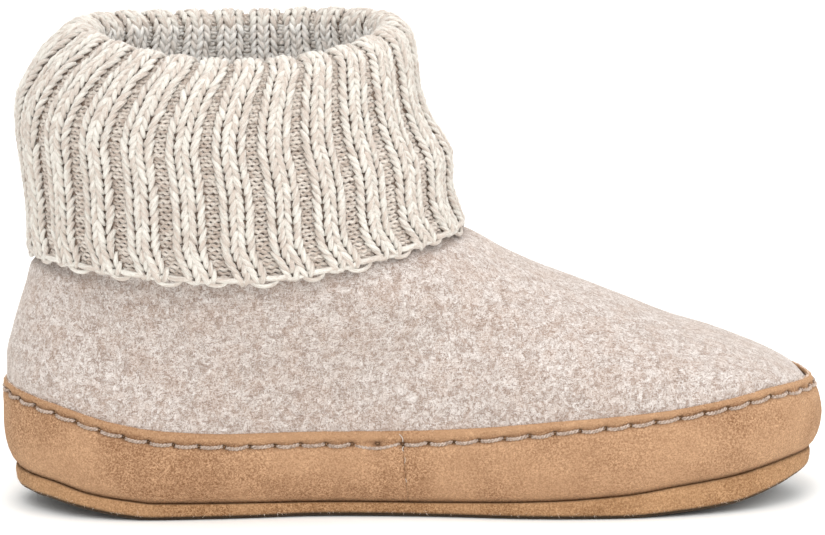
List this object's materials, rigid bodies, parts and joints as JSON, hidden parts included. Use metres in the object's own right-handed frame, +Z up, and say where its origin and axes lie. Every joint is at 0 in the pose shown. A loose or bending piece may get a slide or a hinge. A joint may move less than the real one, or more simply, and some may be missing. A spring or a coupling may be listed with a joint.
{
  "type": "house slipper",
  "caption": "Ankle-high house slipper: felt upper with a turned-down rib-knit cuff, a suede rand sewn round the foot and a thin suede outsole.",
  "frame": {"origin": "centre of the bounding box in plan, on the floor under the sole", "axes": "+X from the heel to the toe, +Y towards the outer side of the left foot, +Z up"},
  "size_m": [0.265, 0.1006, 0.157],
  "materials": {
    "felt": "heather grey-beige boiled wool felt, napped",
    "knit": "marled cream and taupe wool, rib knit",
    "suede_rand": "tan suede, napped",
    "suede_sole": "tan suede, napped, a little darker",
    "insole": "wool felt, pressed"
  },
  "bodies": {
    "root": {"outsole": "suede_sole", "rand": "suede_rand", "upper": "felt", "insole": "insole", "cuff": "knit"}
  },
  "joints": []
}
